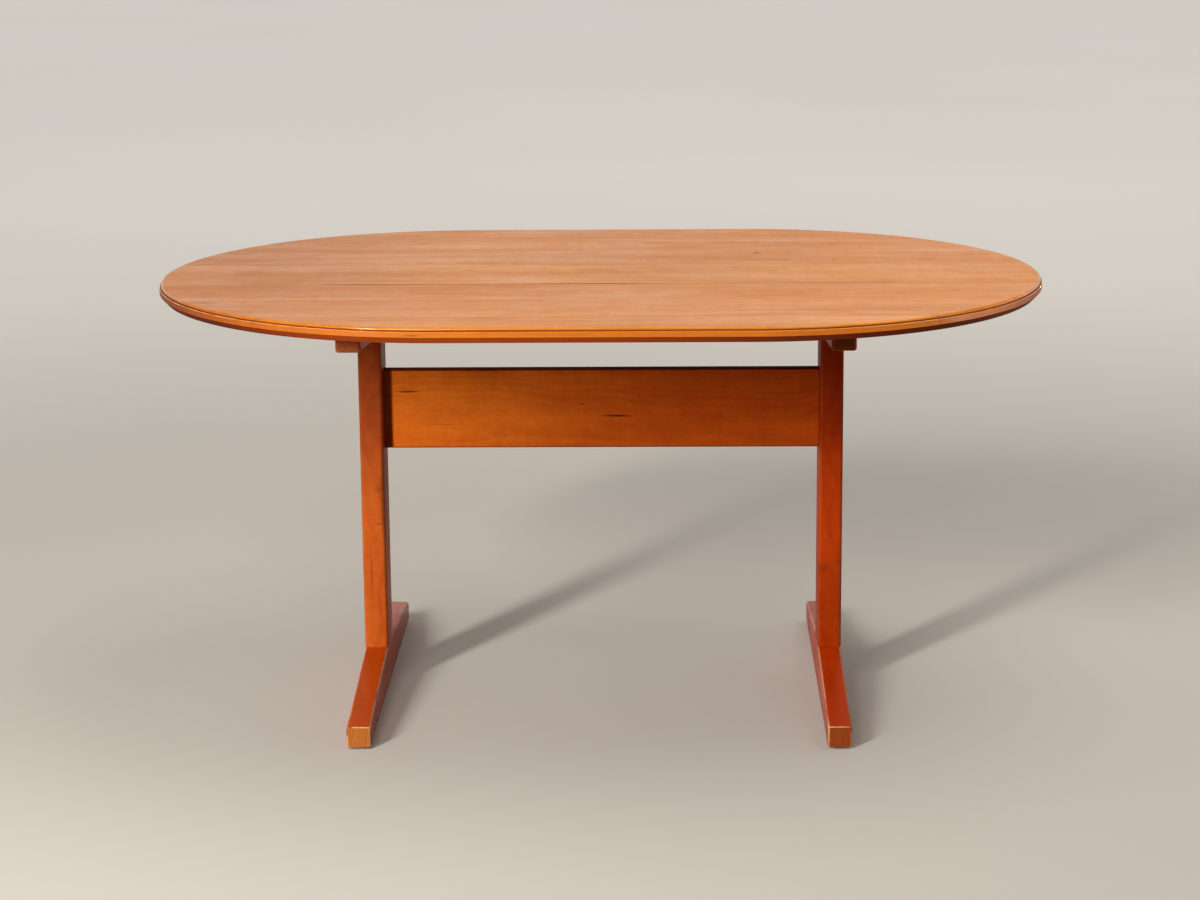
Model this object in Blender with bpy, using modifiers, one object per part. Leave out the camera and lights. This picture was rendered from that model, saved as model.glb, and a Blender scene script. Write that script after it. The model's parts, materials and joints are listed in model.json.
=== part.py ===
"""Trestle dining table with a racetrack top.

Seven boards, doweled edge to edge, make the top. Two I-shaped trestles, each a foot, a post and a bearer,
carry it, and one upright stretcher board is bolted between the posts.

Metres. +X runs along the top to the right, +Y to the back, +Z up. The origin is on the floor under the
middle. Both trestles are alike. Each is laid out about its own empty, with +X pointing outwards.
"""
import math

import bmesh
import bpy
from mathutils import Matrix, Vector

# Top
TABLE_HEIGHT = 0.740
TOP_LENGTH = 1.524
TOP_WIDTH = 1.016
TOP_THICKNESS = 0.026

# Board joints of the top, the same on both sides of its middle: distance out, as a share of half the width
JOINT_SHARES = (0.20, 0.50, 0.81)

# Moulded edge of the top, from the surface down: quarter round, quirk, step, eased band and under-bevel
ROUND_RADIUS = 0.005
QUIRK_HEIGHT = 0.0012
STEP_WIDTH = 0.002
BAND_EASE = 0.0008
BEVEL_HEIGHT = 0.0105
BEVEL_WIDTH = 0.010

# Dowels across the glue joints of the top
DOWEL_DIAMETER = 0.010
DOWEL_LENGTH = 0.050
DOWEL_CHAMFER = 0.0012
DOWEL_SPACING = 0.450

# Trestles
TRESTLE_SPACING = 0.803
TIMBER_THICKNESS = 0.041
TIMBER_EDGE_RADIUS = 0.006
TIMBER_END_EASE = 0.003
FOOT_LENGTH = 0.762
FOOT_HEIGHT = 0.073
FOOT_END_HEIGHT = 0.0365
BEARER_LENGTH = 0.762
BEARER_HEIGHT = 0.073
BEARER_END_HEIGHT = 0.0375
POST_DEPTH = 0.090
TENON_LENGTH = 0.045
TENON_THICKNESS = 0.015
TENON_SHOULDER = 0.012

# Stretcher, hung below the top
STRETCHER_DROP = 0.141
STRETCHER_HEIGHT = 0.140
STRETCHER_THICKNESS = 0.026
STRETCHER_EDGE_RADIUS = 0.003
STUB_LENGTH = 0.008
STUB_CHEEK = 0.005
STUB_SHOULDER = 0.012

# Bolts through the posts into barrel nuts in the stretcher
BOLT_DIAMETER = 0.008
BOLT_SPACING = 0.070
BOLT_HEAD_DIAMETER = 0.013
BOLT_HEAD_HEIGHT = 0.008
BOLT_SOCKET_WIDTH = 0.006
BOLT_SOCKET_DEPTH = 0.004
BOLT_PAST_NUT = 0.005
WASHER_DIAMETER = 0.020
WASHER_THICKNESS = 0.0016
BOLT_COUNTERBORE_DEPTH = 0.012
NUT_DIAMETER = 0.014
NUT_LENGTH = 0.018
NUT_SETBACK = 0.040

# Washer-head screws up through the bearers into the top
SCREW_DIAMETER = 0.005
SCREW_BITE = 0.016
SCREW_POINT_LENGTH = 0.006
SCREW_POINT_DIAMETER = 0.001
SCREW_HEAD_DIAMETER = 0.009
SCREW_HEAD_HEIGHT = 0.004
SCREW_FLANGE_DIAMETER = 0.014
SCREW_FLANGE_HEIGHT = 0.0015
SCREW_SEAT_DEPTH = 0.026
SCREW_SLOT_TRAVEL = 0.003
SCREW_POST_MARGIN = 0.115
SCREW_END_MARGIN = 0.046

# Pads under the feet
PAD_DIAMETER = 0.032
PAD_THICKNESS = 0.003
PAD_INSET = 0.026

# Clearances: between seated faces, at the blind end of a hole, around a head, and a cutter's run past a face
FIT = 0.0003
BLIND_ROOM = 0.001
HEAD_ROOM = 0.001
OVERCUT = 0.002

# Facets
TOP_END_SEGMENTS = 56
ROUND_SEGMENTS = 5
TIMBER_EDGE_SEGMENTS = 3
BORE_SEGMENTS = 20
SMALL_SEGMENTS = 12
ROUNDED_EDGE_ANGLE = math.radians(30)
FLAT_ANGLE = math.radians(1)
MERGE_DISTANCE = 0.00001

# Levels and places that follow from the sizes above
TOP_UNDERSIDE = TABLE_HEIGHT - TOP_THICKNESS
FOOT_UNDERSIDE = PAD_THICKNESS + FIT
FOOT_SEAT = FOOT_UNDERSIDE + FOOT_HEIGHT
BEARER_TOP = TOP_UNDERSIDE - FIT
BEARER_SEAT = BEARER_TOP - BEARER_HEIGHT
POST_BOTTOM = FOOT_SEAT + FIT
POST_TOP = BEARER_SEAT - FIT
TENON_WIDTH = POST_DEPTH - 2 * TENON_SHOULDER
STRETCHER_CENTRE = TOP_UNDERSIDE - STRETCHER_DROP - STRETCHER_HEIGHT / 2
STRETCHER_LENGTH = TRESTLE_SPACING - TIMBER_THICKNESS - 2 * FIT
STUB_THICKNESS = STRETCHER_THICKNESS - 2 * STUB_CHEEK
STUB_HEIGHT = STRETCHER_HEIGHT - 2 * STUB_SHOULDER
SCREW_SEAT = BEARER_TOP - SCREW_SEAT_DEPTH
SCREW_HEAD_SEAT = SCREW_SEAT - FIT
SCREW_LENGTH = TOP_UNDERSIDE + SCREW_BITE - SCREW_HEAD_SEAT
SCREW_OFFSETS = (POST_DEPTH / 2 + SCREW_POST_MARGIN, BEARER_LENGTH / 2 - SCREW_END_MARGIN)
BOLT_LEVELS = {
    "lower": STRETCHER_CENTRE - BOLT_SPACING / 2,
    "upper": STRETCHER_CENTRE + BOLT_SPACING / 2,
}

# Places along a trestle's own X axis, which points outwards
OUTER_FACE = TIMBER_THICKNESS / 2
INNER_FACE = -TIMBER_THICKNESS / 2
WASHER_SEAT = OUTER_FACE - BOLT_COUNTERBORE_DEPTH
WASHER_PLACE = WASHER_SEAT + FIT
BOLT_HEAD_SEAT = WASHER_PLACE + WASHER_THICKNESS + FIT
NUT_CENTRE = INNER_FACE - FIT - NUT_SETBACK
BOLT_TIP = NUT_CENTRE - NUT_DIAMETER / 2 - BOLT_PAST_NUT
BOLT_LENGTH = BOLT_HEAD_SEAT - BOLT_TIP

# Finishes: colour, roughness and metallic value
WOOD_LIGHT = ((0.70, 0.34, 0.13), 0.35, 0.0)
WOOD_WARM = ((0.58, 0.22, 0.06), 0.38, 0.0)
WOOD_PALE = ((0.72, 0.54, 0.34), 0.60, 0.0)
STEEL = ((0.62, 0.62, 0.60), 0.35, 1.0)
FELT = ((0.10, 0.08, 0.07), 0.95, 0.0)


def clear_scene():
    for item in list(bpy.data.objects):
        bpy.data.objects.remove(item, do_unlink=True)


def new_collection(name):
    collection = bpy.data.collections.new(name)
    bpy.context.scene.collection.children.link(collection)
    return collection


def paint(item, finish):
    colour, roughness, metallic = finish
    material = bpy.data.materials.new(item.name)
    material.use_nodes = True
    shader = material.node_tree.nodes["Principled BSDF"]
    shader.inputs["Base Color"].default_value = (*colour, 1.0)
    shader.inputs["Roughness"].default_value = roughness
    shader.inputs["Metallic"].default_value = metallic
    item.data.materials.append(material)


def add_object(name, data, collection, frame=None):
    item = bpy.data.objects.new(name, data)
    item.parent = frame
    collection.objects.link(item)
    return item


def add_part(name, mesh, finish, frame=None):
    """Named piece with its own material, placed in the frame of a trestle or of the whole table."""
    item = add_object(name, mesh, parts, frame)
    paint(item, finish)
    mesh.shade_smooth()
    mesh.set_sharp_from_angle(angle=ROUNDED_EDGE_ANGLE)
    return item


def add_cutter(name, mesh, frame=None):
    item = add_object(name, mesh, cutters, frame)
    item.hide_render = True
    item.display_type = "WIRE"
    return item


def boolean(item, other, operation="DIFFERENCE"):
    modifier = item.modifiers.new(operation.title(), "BOOLEAN")
    modifier.operation = operation
    modifier.object = other


def mesh_from(name, bm):
    mesh = bpy.data.meshes.new(name)
    bm.to_mesh(mesh)
    bm.free()
    return mesh


def finished_mesh(item):
    """Mesh of a working object as its modifiers leave it, welded, with the object itself removed."""
    bpy.context.view_layer.update()
    mesh = bpy.data.meshes.new_from_object(item.evaluated_get(bpy.context.evaluated_depsgraph_get()))
    bm = bmesh.new()
    bm.from_mesh(mesh)
    bmesh.ops.remove_doubles(bm, verts=bm.verts, dist=MERGE_DISTANCE)
    bmesh.ops.recalc_face_normals(bm, faces=bm.faces)
    bm.to_mesh(mesh)
    bm.free()
    bpy.data.objects.remove(item, do_unlink=True)
    return mesh


def block_mesh(name, size, centre):
    bm = bmesh.new()
    place = Matrix.Translation(centre) @ Matrix.Diagonal((*size, 1.0))
    bmesh.ops.create_cube(bm, size=1.0, matrix=place)
    return mesh_from(name, bm)


def rods_mesh(name, diameter, runs, segments=BORE_SEGMENTS):
    """Round rods that stay apart, each from one point to another."""
    bm = bmesh.new()
    for start, end in runs:
        axis = Vector(end) - Vector(start)
        turn = Vector((0, 0, 1)).rotation_difference(axis).to_matrix().to_4x4()
        place = Matrix.Translation((Vector(start) + Vector(end)) / 2) @ turn
        bmesh.ops.create_cone(
            bm,
            cap_ends=True,
            segments=segments,
            radius1=diameter / 2,
            radius2=diameter / 2,
            depth=axis.length,
            matrix=place,
        )
    return mesh_from(name, bm)


def turned_mesh(name, profile, closed=False, segments=BORE_SEGMENTS):
    """Solid turned about Z from (radius, height) points that run down its outer side."""
    bm = bmesh.new()
    points = [bm.verts.new((radius, 0, height)) for radius, height in profile]
    for first, second in zip(points, points[1:]):
        bm.edges.new((first, second))
    if closed:
        bm.edges.new((points[-1], points[0]))
    item = add_object(name, mesh_from(name, bm), cutters)
    screw = item.modifiers.new("Turn", "SCREW")
    screw.steps = segments
    screw.render_steps = segments
    screw.use_merge_vertices = True
    screw.merge_threshold = MERGE_DISTANCE
    return finished_mesh(item)


def plate_mesh(name, outline, thickness):
    """Flat outline in X and Y, given its thickness along Z about the middle."""
    curve = bpy.data.curves.new(name, "CURVE")
    curve.dimensions = "2D"
    curve.fill_mode = "BOTH"
    curve.extrude = thickness / 2
    spline = curve.splines.new("POLY")
    spline.points.add(len(outline) - 1)
    spline.use_cyclic_u = True
    for point, (x, y) in zip(spline.points, outline):
        point.co = (x, y, 0, 1)
    mesh = finished_mesh(add_object(name, curve, cutters))
    bm = bmesh.new()
    bm.from_mesh(mesh)
    bmesh.ops.dissolve_limit(bm, angle_limit=FLAT_ANGLE, verts=bm.verts, edges=bm.edges)
    bm.to_mesh(mesh)
    bm.free()
    return mesh


def copies_mesh(name, mesh, places):
    """Copies of one solid that stay apart, in one mesh."""
    bm = bmesh.new()
    for place in places:
        copy = mesh.copy()
        copy.transform(place)
        bm.from_mesh(copy)
        bpy.data.meshes.remove(copy)
    return mesh_from(name, bm)


def joined_mesh(name, meshes):
    """Solids that stay apart, in one mesh."""
    bm = bmesh.new()
    for mesh in meshes:
        bm.from_mesh(mesh)
        bpy.data.meshes.remove(mesh)
    return mesh_from(name, bm)


def round_edges(item, radius, share):
    """Round each edge that turns by more than the set angle, to the share of the radius that it gets."""
    bm = bmesh.new()
    bm.from_mesh(item.data)
    weight = bm.edges.layers.float.new("bevel_weight_edge")
    for edge in bm.edges:
        if edge.calc_face_angle() > ROUNDED_EDGE_ANGLE:
            edge[weight] = share(edge)
    bm.to_mesh(item.data)
    bm.free()
    bevel = item.modifiers.new("Rounded edges", "BEVEL")
    bevel.limit_method = "WEIGHT"
    bevel.width = radius
    bevel.segments = TIMBER_EDGE_SEGMENTS


def runs_along_x(edge):
    return float(edge.verts[0].co.x != edge.verts[1].co.x)


def runs_along_z(edge):
    return float(edge.verts[0].co.z != edge.verts[1].co.z)


def racetrack(length, width, segments):
    """Outline with straight sides along X and half-round ends."""
    radius = width / 2
    run = length / 2 - radius
    points = []
    for end in (1, -1):
        for step in range(segments + 1):
            angle = math.pi * step / segments - math.pi / 2
            points.append((end * (run + radius * math.cos(angle)), end * radius * math.sin(angle)))
    return points


def edge_profile():
    """Moulded edge as (inset, drop) points, from the top face round to the underside."""
    points = []
    for step in range(ROUND_SEGMENTS + 1):
        angle = math.pi / 2 * step / ROUND_SEGMENTS
        inset = STEP_WIDTH + ROUND_RADIUS * (1 - math.sin(angle))
        points.append((inset, ROUND_RADIUS * (1 - math.cos(angle))))
    step_drop = ROUND_RADIUS + QUIRK_HEIGHT
    points.append((STEP_WIDTH, step_drop))
    points.append((BAND_EASE, step_drop))
    points.append((0.0, step_drop + BAND_EASE))
    points.append((0.0, TOP_THICKNESS - BEVEL_HEIGHT))
    points.append((BEVEL_WIDTH, TOP_THICKNESS))
    return points


def top_blank():
    """Whole top before it is sawn into boards: the moulded edge lofted round the racetrack outline."""
    bm = bmesh.new()
    rings = []
    for inset, drop in edge_profile():
        outline = racetrack(TOP_LENGTH - 2 * inset, TOP_WIDTH - 2 * inset, TOP_END_SEGMENTS)
        rings.append([bm.verts.new((x, y, TABLE_HEIGHT - drop)) for x, y in outline])
    bm.faces.new(rings[0])
    bm.faces.new(reversed(rings[-1]))
    for upper, lower in zip(rings, rings[1:]):
        for place in range(len(upper)):
            after = (place + 1) % len(upper)
            bm.faces.new((upper[after], upper[place], lower[place], lower[after]))
    bmesh.ops.recalc_face_normals(bm, faces=bm.faces)
    return mesh_from("top_blank", bm)


def saw(bm, y, direction):
    """Saw along X at y, keep what lies towards the direction and close the sawn face."""
    cut = bmesh.ops.bisect_plane(
        bm,
        geom=bm.verts[:] + bm.edges[:] + bm.faces[:],
        dist=MERGE_DISTANCE,
        plane_co=(0, y, 0),
        plane_no=(0, direction, 0),
        clear_inner=True,
    )
    rim = [item for item in cut["geom_cut"] if isinstance(item, bmesh.types.BMEdge)]
    bmesh.ops.edgeloop_fill(bm, edges=rim)
    bmesh.ops.recalc_face_normals(bm, faces=bm.faces)


def joint_lines():
    return sorted(side * share * TOP_WIDTH / 2 for side in (-1, 1) for share in JOINT_SHARES)


def dowel_places():
    """Name and middle of each dowel: three to a glue joint, at half the top's thickness."""
    height = TABLE_HEIGHT - TOP_THICKNESS / 2
    places = {}
    for number, y in enumerate(joint_lines(), 1):
        for place, step in (("left", -1), ("middle", 0), ("right", 1)):
            places[f"joint_{number}_{place}_dowel"] = Vector((step * DOWEL_SPACING, y, height))
    return places


def board_name(number):
    middle = len(JOINT_SHARES) + 1
    place = "front" if number < middle else "rear" if number > middle else "centre"
    return f"tabletop_board_{number}_{place}"


def top_holes():
    """Dowel bores across the joints and pilot holes for the top screws, as one cutter."""
    half_bore = Vector((0, DOWEL_LENGTH / 2 + BLIND_ROOM, 0))
    bores = [(middle - half_bore, middle + half_bore) for middle in dowel_places().values()]
    bore_mesh = rods_mesh("dowel_bores", DOWEL_DIAMETER + 2 * FIT, bores, SMALL_SEGMENTS)
    below = TOP_UNDERSIDE - OVERCUT
    blind = TOP_UNDERSIDE + SCREW_BITE + FIT
    columns = [(turn * TRESTLE_SPACING / 2, y) for turn in (-1, 1) for y in screw_rows()]
    pilots = [((x, y, below), (x, y, blind)) for x, y in columns]
    pilot_mesh = rods_mesh("pilot_holes", SCREW_DIAMETER + 2 * FIT, pilots, SMALL_SEGMENTS)
    return add_cutter("top_holes", joined_mesh("top_holes", [bore_mesh, pilot_mesh]))


def make_boards():
    holes = top_holes()
    blank = top_blank()
    lines = joint_lines()
    for number in range(1, len(lines) + 2):
        bm = bmesh.new()
        bm.from_mesh(blank)
        if number > 1:
            saw(bm, lines[number - 2] + FIT / 2, 1)
        if number <= len(lines):
            saw(bm, lines[number - 1] - FIT / 2, -1)
        name = board_name(number)
        boolean(add_part(name, mesh_from(name, bm), WOOD_LIGHT), holes)
    bpy.data.meshes.remove(blank)


def make_dowels():
    radius = DOWEL_DIAMETER / 2
    end = DOWEL_LENGTH / 2
    profile = [
        (0, end),
        (radius - DOWEL_CHAMFER, end),
        (radius, end - DOWEL_CHAMFER),
        (radius, DOWEL_CHAMFER - end),
        (radius - DOWEL_CHAMFER, -end),
        (0, -end),
    ]
    mesh = turned_mesh("dowel", profile, segments=SMALL_SEGMENTS)
    for name, middle in dowel_places().items():
        dowel = add_part(name, mesh.copy(), WOOD_PALE)
        dowel.location = middle
        dowel.rotation_euler.x = math.pi / 2


def rail_mesh(name, length, height, end_height):
    """Bar along Y, flat below and tapered above from a level seat for the post down to both ends."""
    seat = POST_DEPTH / 2
    end = length / 2
    outline = [(-end, 0), (end, 0), (end, end_height), (seat, height), (-seat, height), (-end, end_height)]
    mesh = plate_mesh(name, outline, TIMBER_THICKNESS)
    upright = Matrix(((0, 0, 1, 0), (1, 0, 0, 0), (0, 1, 0, 0), (0, 0, 0, 1)))
    mesh.transform(upright)
    return mesh


def round_rail(rail, length):
    """Round a rail's edges, less across its ends, and stop at the post, whose cheeks run flush into it."""
    seat = POST_DEPTH / 2 + MERGE_DISTANCE
    end = length / 2 - MERGE_DISTANCE

    def share(edge):
        reach = [abs(vert.co.y) for vert in edge.verts]
        if max(reach) < seat:
            return 0.0
        if min(reach) > end and runs_along_x(edge):
            return TIMBER_END_EASE / TIMBER_EDGE_RADIUS
        return 1.0

    round_edges(rail, TIMBER_EDGE_RADIUS, share)


def mortise(name, bottom, top, frame):
    size = (TENON_THICKNESS + 2 * FIT, TENON_WIDTH + 2 * FIT, top - bottom)
    return add_cutter(name, block_mesh(name, size, (0, 0, (bottom + top) / 2)), frame)


def make_foot(side, frame):
    name = f"{side}_foot"
    mesh = rail_mesh(name, FOOT_LENGTH, FOOT_HEIGHT, FOOT_END_HEIGHT)
    foot = add_part(name, mesh, WOOD_WARM, frame)
    foot.location.z = FOOT_UNDERSIDE
    round_rail(foot, FOOT_LENGTH)
    bottom = POST_BOTTOM - TENON_LENGTH - BLIND_ROOM
    boolean(foot, mortise(f"{name}_mortise", bottom, FOOT_SEAT + OVERCUT, frame))


def make_bearer(side, frame):
    """Bearer: a rail hung upside down, with counterbored slots that let the top swell across its boards."""
    name = f"{side}_bearer"
    mesh = rail_mesh(name, BEARER_LENGTH, BEARER_HEIGHT, BEARER_END_HEIGHT)
    bearer = add_part(name, mesh, WOOD_WARM, frame)
    bearer.location.z = BEARER_TOP
    bearer.rotation_euler.y = math.pi
    round_rail(bearer, BEARER_LENGTH)
    top = POST_TOP + TENON_LENGTH + BLIND_ROOM
    boolean(bearer, mortise(f"{name}_mortise", BEARER_SEAT - OVERCUT, top, frame))
    bores = [((0, y, BEARER_SEAT - OVERCUT), (0, y, SCREW_SEAT)) for y in screw_rows()]
    bore_name = f"{side}_screw_counterbores"
    bore_mesh = rods_mesh(bore_name, SCREW_FLANGE_DIAMETER + 2 * HEAD_ROOM, bores)
    boolean(bearer, add_cutter(bore_name, bore_mesh, frame))
    width = SCREW_DIAMETER + 2 * FIT
    outline = racetrack(width + 2 * SCREW_SLOT_TRAVEL, width, SMALL_SEGMENTS // 2)
    slot = plate_mesh("slot", outline, SCREW_SEAT_DEPTH + 2 * OVERCUT)
    along = Matrix.Rotation(math.pi / 2, 4, "Z")
    places = [Matrix.Translation((0, y, SCREW_SEAT + SCREW_SEAT_DEPTH / 2)) @ along for y in screw_rows()]
    slot_name = f"{side}_screw_slots"
    boolean(bearer, add_cutter(slot_name, copies_mesh(slot_name, slot, places), frame))


def screw_rows():
    return sorted(face * offset for face in (-1, 1) for offset in SCREW_OFFSETS)


def make_post(side, frame, bolt_holes):
    name = f"{side}_post"
    size = (TIMBER_THICKNESS, POST_DEPTH, POST_TOP - POST_BOTTOM)
    post = add_part(name, block_mesh(name, size, (0, 0, (POST_TOP + POST_BOTTOM) / 2)), WOOD_WARM, frame)
    round_edges(post, TIMBER_EDGE_RADIUS, runs_along_z)
    for end, level, outward in (("lower", POST_BOTTOM, -1), ("upper", POST_TOP, 1)):
        tenon_size = (TENON_THICKNESS, TENON_WIDTH, TENON_LENGTH + OVERCUT)
        middle = level + outward * (TENON_LENGTH - OVERCUT) / 2
        tenon_name = f"{name}_{end}_tenon"
        tenon = add_cutter(tenon_name, block_mesh(tenon_name, tenon_size, (0, 0, middle)), frame)
        boolean(post, tenon, "UNION")
    depth = STUB_LENGTH + BLIND_ROOM
    stub_size = (depth + OVERCUT, STUB_THICKNESS + 2 * FIT, STUB_HEIGHT + 2 * FIT)
    stub_centre = (INNER_FACE + (depth - OVERCUT) / 2, 0, STRETCHER_CENTRE)
    stub_name = f"{side}_stub_mortise"
    boolean(post, add_cutter(stub_name, block_mesh(stub_name, stub_size, stub_centre), frame))
    boolean(post, bolt_holes)
    bores = [((WASHER_SEAT, 0, z), (OUTER_FACE + OVERCUT, 0, z)) for z in BOLT_LEVELS.values()]
    bore_name = f"{side}_bolt_counterbores"
    bore_mesh = rods_mesh(bore_name, WASHER_DIAMETER + 2 * HEAD_ROOM, bores)
    boolean(post, add_cutter(bore_name, bore_mesh, frame))


def make_bolt_holes(side, frame):
    name = f"{side}_bolt_holes"
    runs = [((BOLT_TIP - BLIND_ROOM, 0, z), (WASHER_SEAT + OVERCUT, 0, z)) for z in BOLT_LEVELS.values()]
    return add_cutter(name, rods_mesh(name, BOLT_DIAMETER + 2 * FIT, runs), frame)


def make_nut_sockets(side, frame, turn):
    """Blind holes for the barrel nuts, bored from the stretcher's rear face."""
    name = f"{side}_nut_sockets"
    blind = -turn * (NUT_LENGTH / 2 + FIT)
    mouth = turn * (STRETCHER_THICKNESS / 2 + OVERCUT)
    runs = [((NUT_CENTRE, blind, z), (NUT_CENTRE, mouth, z)) for z in BOLT_LEVELS.values()]
    return add_cutter(name, rods_mesh(name, NUT_DIAMETER + 2 * FIT, runs), frame)


def make_stretcher(hole_cutters):
    size = (STRETCHER_LENGTH, STRETCHER_THICKNESS, STRETCHER_HEIGHT)
    stretcher = add_part("stretcher", block_mesh("stretcher", size, (0, 0, STRETCHER_CENTRE)), WOOD_WARM)
    round_edges(stretcher, STRETCHER_EDGE_RADIUS, runs_along_x)
    stub_size = (STRETCHER_LENGTH + 2 * STUB_LENGTH, STUB_THICKNESS, STUB_HEIGHT)
    stubs = add_cutter("stub_tenons", block_mesh("stub_tenons", stub_size, (0, 0, STRETCHER_CENTRE)))
    boolean(stretcher, stubs, "UNION")
    for cutter in hole_cutters:
        boolean(stretcher, cutter)


def bolt_mesh():
    """Socket-head bolt with its head towards +Z and the underside of the head at zero."""
    head = BOLT_HEAD_DIAMETER / 2
    shank = BOLT_DIAMETER / 2
    profile = [
        (0, BOLT_HEAD_HEIGHT),
        (head, BOLT_HEAD_HEIGHT),
        (head, 0),
        (shank, 0),
        (shank, -BOLT_LENGTH),
        (0, -BOLT_LENGTH),
    ]
    blank = add_object("bolt_blank", turned_mesh("bolt_blank", profile), cutters)
    across_corners = BOLT_SOCKET_WIDTH / math.cos(math.pi / 6)
    run = ((0, 0, BOLT_HEAD_HEIGHT - BOLT_SOCKET_DEPTH), (0, 0, BOLT_HEAD_HEIGHT + OVERCUT))
    boolean(blank, add_cutter("bolt_socket", rods_mesh("bolt_socket", across_corners, [run], 6)))
    return finished_mesh(blank)


def washer_mesh():
    outer = WASHER_DIAMETER / 2
    inner = BOLT_DIAMETER / 2 + FIT
    profile = [(outer, WASHER_THICKNESS), (outer, 0), (inner, 0), (inner, WASHER_THICKNESS)]
    return turned_mesh("washer", profile, closed=True)


def nut_mesh():
    """Barrel nut along Y with its cross bore along X."""
    end = NUT_LENGTH / 2
    blank_mesh = rods_mesh("nut_blank", NUT_DIAMETER, [((0, -end, 0), (0, end, 0))])
    blank = add_object("nut_blank", blank_mesh, cutters)
    reach = NUT_DIAMETER / 2 + OVERCUT
    bore = rods_mesh("nut_bore", BOLT_DIAMETER + 2 * FIT, [((-reach, 0, 0), (reach, 0, 0))])
    boolean(blank, add_cutter("nut_bore", bore))
    return finished_mesh(blank)


def make_bolt_sets(side, frame):
    """Bolt, washer and barrel nut at each level, heads outwards."""
    for level, z in BOLT_LEVELS.items():
        bolt = add_part(f"{side}_{level}_bolt", bolt_mesh(), STEEL, frame)
        bolt.location = (BOLT_HEAD_SEAT, 0, z)
        bolt.rotation_euler.y = math.pi / 2
        washer = add_part(f"{side}_{level}_washer", washer_mesh(), STEEL, frame)
        washer.location = (WASHER_PLACE, 0, z)
        washer.rotation_euler.y = math.pi / 2
        nut = add_part(f"{side}_{level}_barrel_nut", nut_mesh(), STEEL, frame)
        nut.location = (NUT_CENTRE, 0, z)


def screw_mesh():
    """Washer-head screw with its head towards +Z and the underside of the flange at zero."""
    head = SCREW_HEAD_DIAMETER / 2
    flange = SCREW_FLANGE_DIAMETER / 2
    shank = SCREW_DIAMETER / 2
    profile = [
        (0, SCREW_HEAD_HEIGHT),
        (head, SCREW_HEAD_HEIGHT),
        (head, SCREW_FLANGE_HEIGHT),
        (flange, SCREW_FLANGE_HEIGHT),
        (flange, 0),
        (shank, 0),
        (shank, SCREW_POINT_LENGTH - SCREW_LENGTH),
        (SCREW_POINT_DIAMETER / 2, -SCREW_LENGTH),
        (0, -SCREW_LENGTH),
    ]
    return turned_mesh("screw", profile, segments=SMALL_SEGMENTS)


def make_top_screws(side, frame, turn):
    for number, row in enumerate(screw_rows(), 1):
        screw = add_part(f"{side}_top_screw_{number}", screw_mesh(), STEEL, frame)
        screw.location = (0, turn * row, SCREW_HEAD_SEAT)
        screw.rotation_euler.x = math.pi


def make_pads(side, frame, turn):
    for end, face in (("front", -turn), ("rear", turn)):
        name = f"{side}_{end}_pad"
        mesh = rods_mesh(name, PAD_DIAMETER, [((0, 0, 0), (0, 0, PAD_THICKNESS))])
        pad = add_part(name, mesh, FELT, frame)
        pad.location.y = face * (FOOT_LENGTH / 2 - PAD_INSET)


def make_trestle(side, turn):
    """One trestle with its fasteners and pads, and the cutters that it needs in the stretcher."""
    frame = add_object(f"{side}_trestle", None, parts)
    frame.location.x = turn * TRESTLE_SPACING / 2
    frame.rotation_euler.z = (1 - turn) * math.pi / 2
    bolt_holes = make_bolt_holes(side, frame)
    make_foot(side, frame)
    make_post(side, frame, bolt_holes)
    make_bearer(side, frame)
    make_bolt_sets(side, frame)
    make_top_screws(side, frame, turn)
    make_pads(side, frame, turn)
    return bolt_holes, make_nut_sockets(side, frame, turn)


clear_scene()
parts = new_collection("Trestle dining table")
cutters = new_collection("Cutters")
make_boards()
make_dowels()
left_cutters = make_trestle("left", -1)
right_cutters = make_trestle("right", 1)
make_stretcher(left_cutters + right_cutters)
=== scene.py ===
"""Looks of the trestle dining table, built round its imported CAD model."""
import json
import math

import bmesh
import bpy
from mathutils import Matrix, Vector

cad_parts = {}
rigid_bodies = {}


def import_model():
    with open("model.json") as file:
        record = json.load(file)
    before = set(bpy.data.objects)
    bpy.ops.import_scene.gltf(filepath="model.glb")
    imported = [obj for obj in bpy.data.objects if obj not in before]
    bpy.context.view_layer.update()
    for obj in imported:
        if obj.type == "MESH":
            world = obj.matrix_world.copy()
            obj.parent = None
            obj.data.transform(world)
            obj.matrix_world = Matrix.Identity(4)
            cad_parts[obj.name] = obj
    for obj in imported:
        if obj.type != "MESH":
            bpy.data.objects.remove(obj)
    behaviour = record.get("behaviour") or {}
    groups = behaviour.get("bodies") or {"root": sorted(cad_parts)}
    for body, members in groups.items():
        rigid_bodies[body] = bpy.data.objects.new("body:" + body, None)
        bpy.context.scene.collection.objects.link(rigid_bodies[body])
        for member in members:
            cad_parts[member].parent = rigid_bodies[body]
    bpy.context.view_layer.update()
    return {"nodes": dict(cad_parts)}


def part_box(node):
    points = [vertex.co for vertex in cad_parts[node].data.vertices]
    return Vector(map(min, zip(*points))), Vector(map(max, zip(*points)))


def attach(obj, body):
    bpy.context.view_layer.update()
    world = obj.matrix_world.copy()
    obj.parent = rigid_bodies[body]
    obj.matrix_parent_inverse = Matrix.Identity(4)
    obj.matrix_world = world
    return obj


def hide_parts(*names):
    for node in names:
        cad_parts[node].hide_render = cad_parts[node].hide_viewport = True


# Camera: place in metres, then heading, downward tilt and roll in radians, and focal length in pixels
CAMERA_PLACE = (0.11125, -5.04819, 1.59345)
CAMERA_HEADING = -0.02258
CAMERA_TILT = 0.22735
CAMERA_ROLL = -0.00825
FOCAL_PIXELS = 2941.6
IMAGE_WIDTH = 1200
SENSOR_WIDTH = 36.0

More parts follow.
